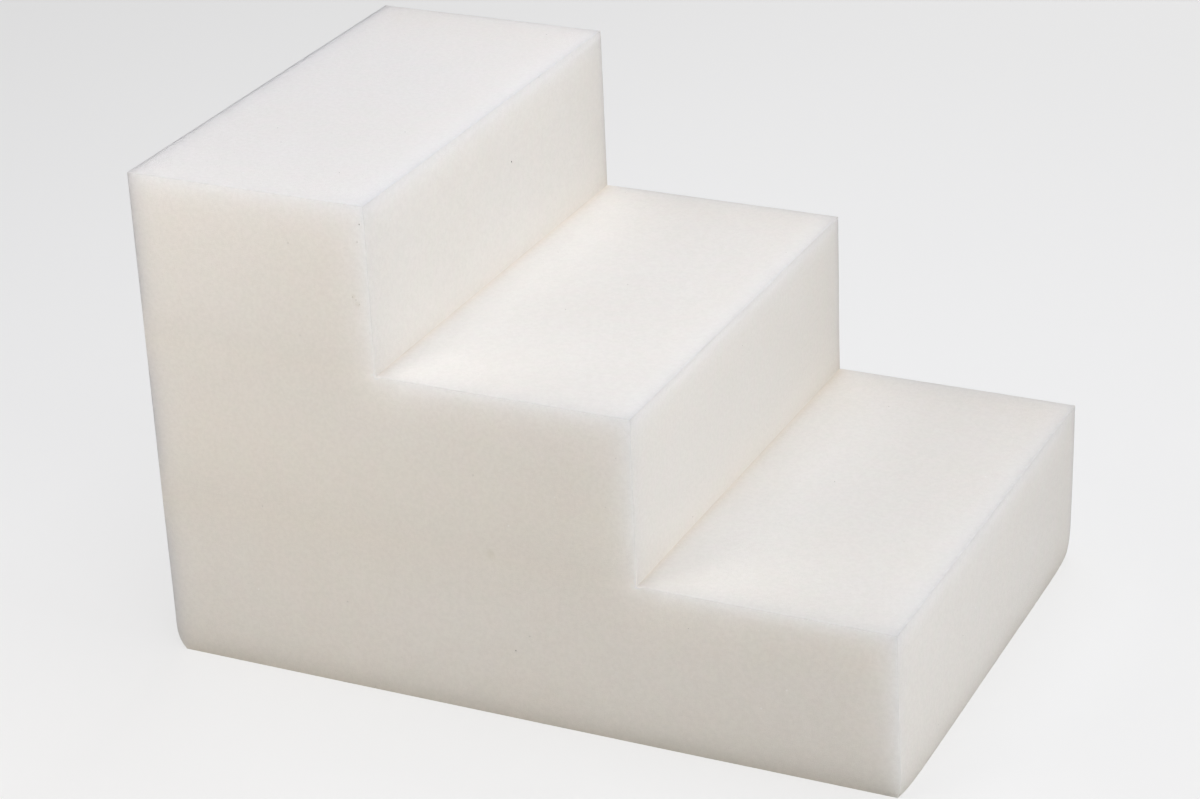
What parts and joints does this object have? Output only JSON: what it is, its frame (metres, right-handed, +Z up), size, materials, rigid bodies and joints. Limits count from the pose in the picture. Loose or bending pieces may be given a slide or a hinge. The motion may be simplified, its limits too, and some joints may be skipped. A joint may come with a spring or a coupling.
{
  "type": "pet stairs",
  "caption": "Free-standing pet stairs of bare white foam: slabs glued in a stack, each a tread shorter than the slab below, with square sawn sides and sharp inner corners.",
  "frame": {"origin": "on the floor, under the middle of the stairs' length and width", "axes": "+X runs from the high back to the low front, +Y across the stairs, +Z up"},
  "size_m": [0.608, 0.4, 0.405],
  "materials": {
    "foam": "bare sawn open-cell polyurethane foam, off-white, dull, slightly translucent at its edges",
    "contact_adhesive": "dried contact adhesive, pale amber, semi-matte"
  },
  "bodies": {
    "root": {"bottom_slab": "foam", "middle_slab": "foam", "top_slab": "foam", "lower_adhesive_film": "contact_adhesive", "upper_adhesive_film": "contact_adhesive"}
  },
  "joints": []
}
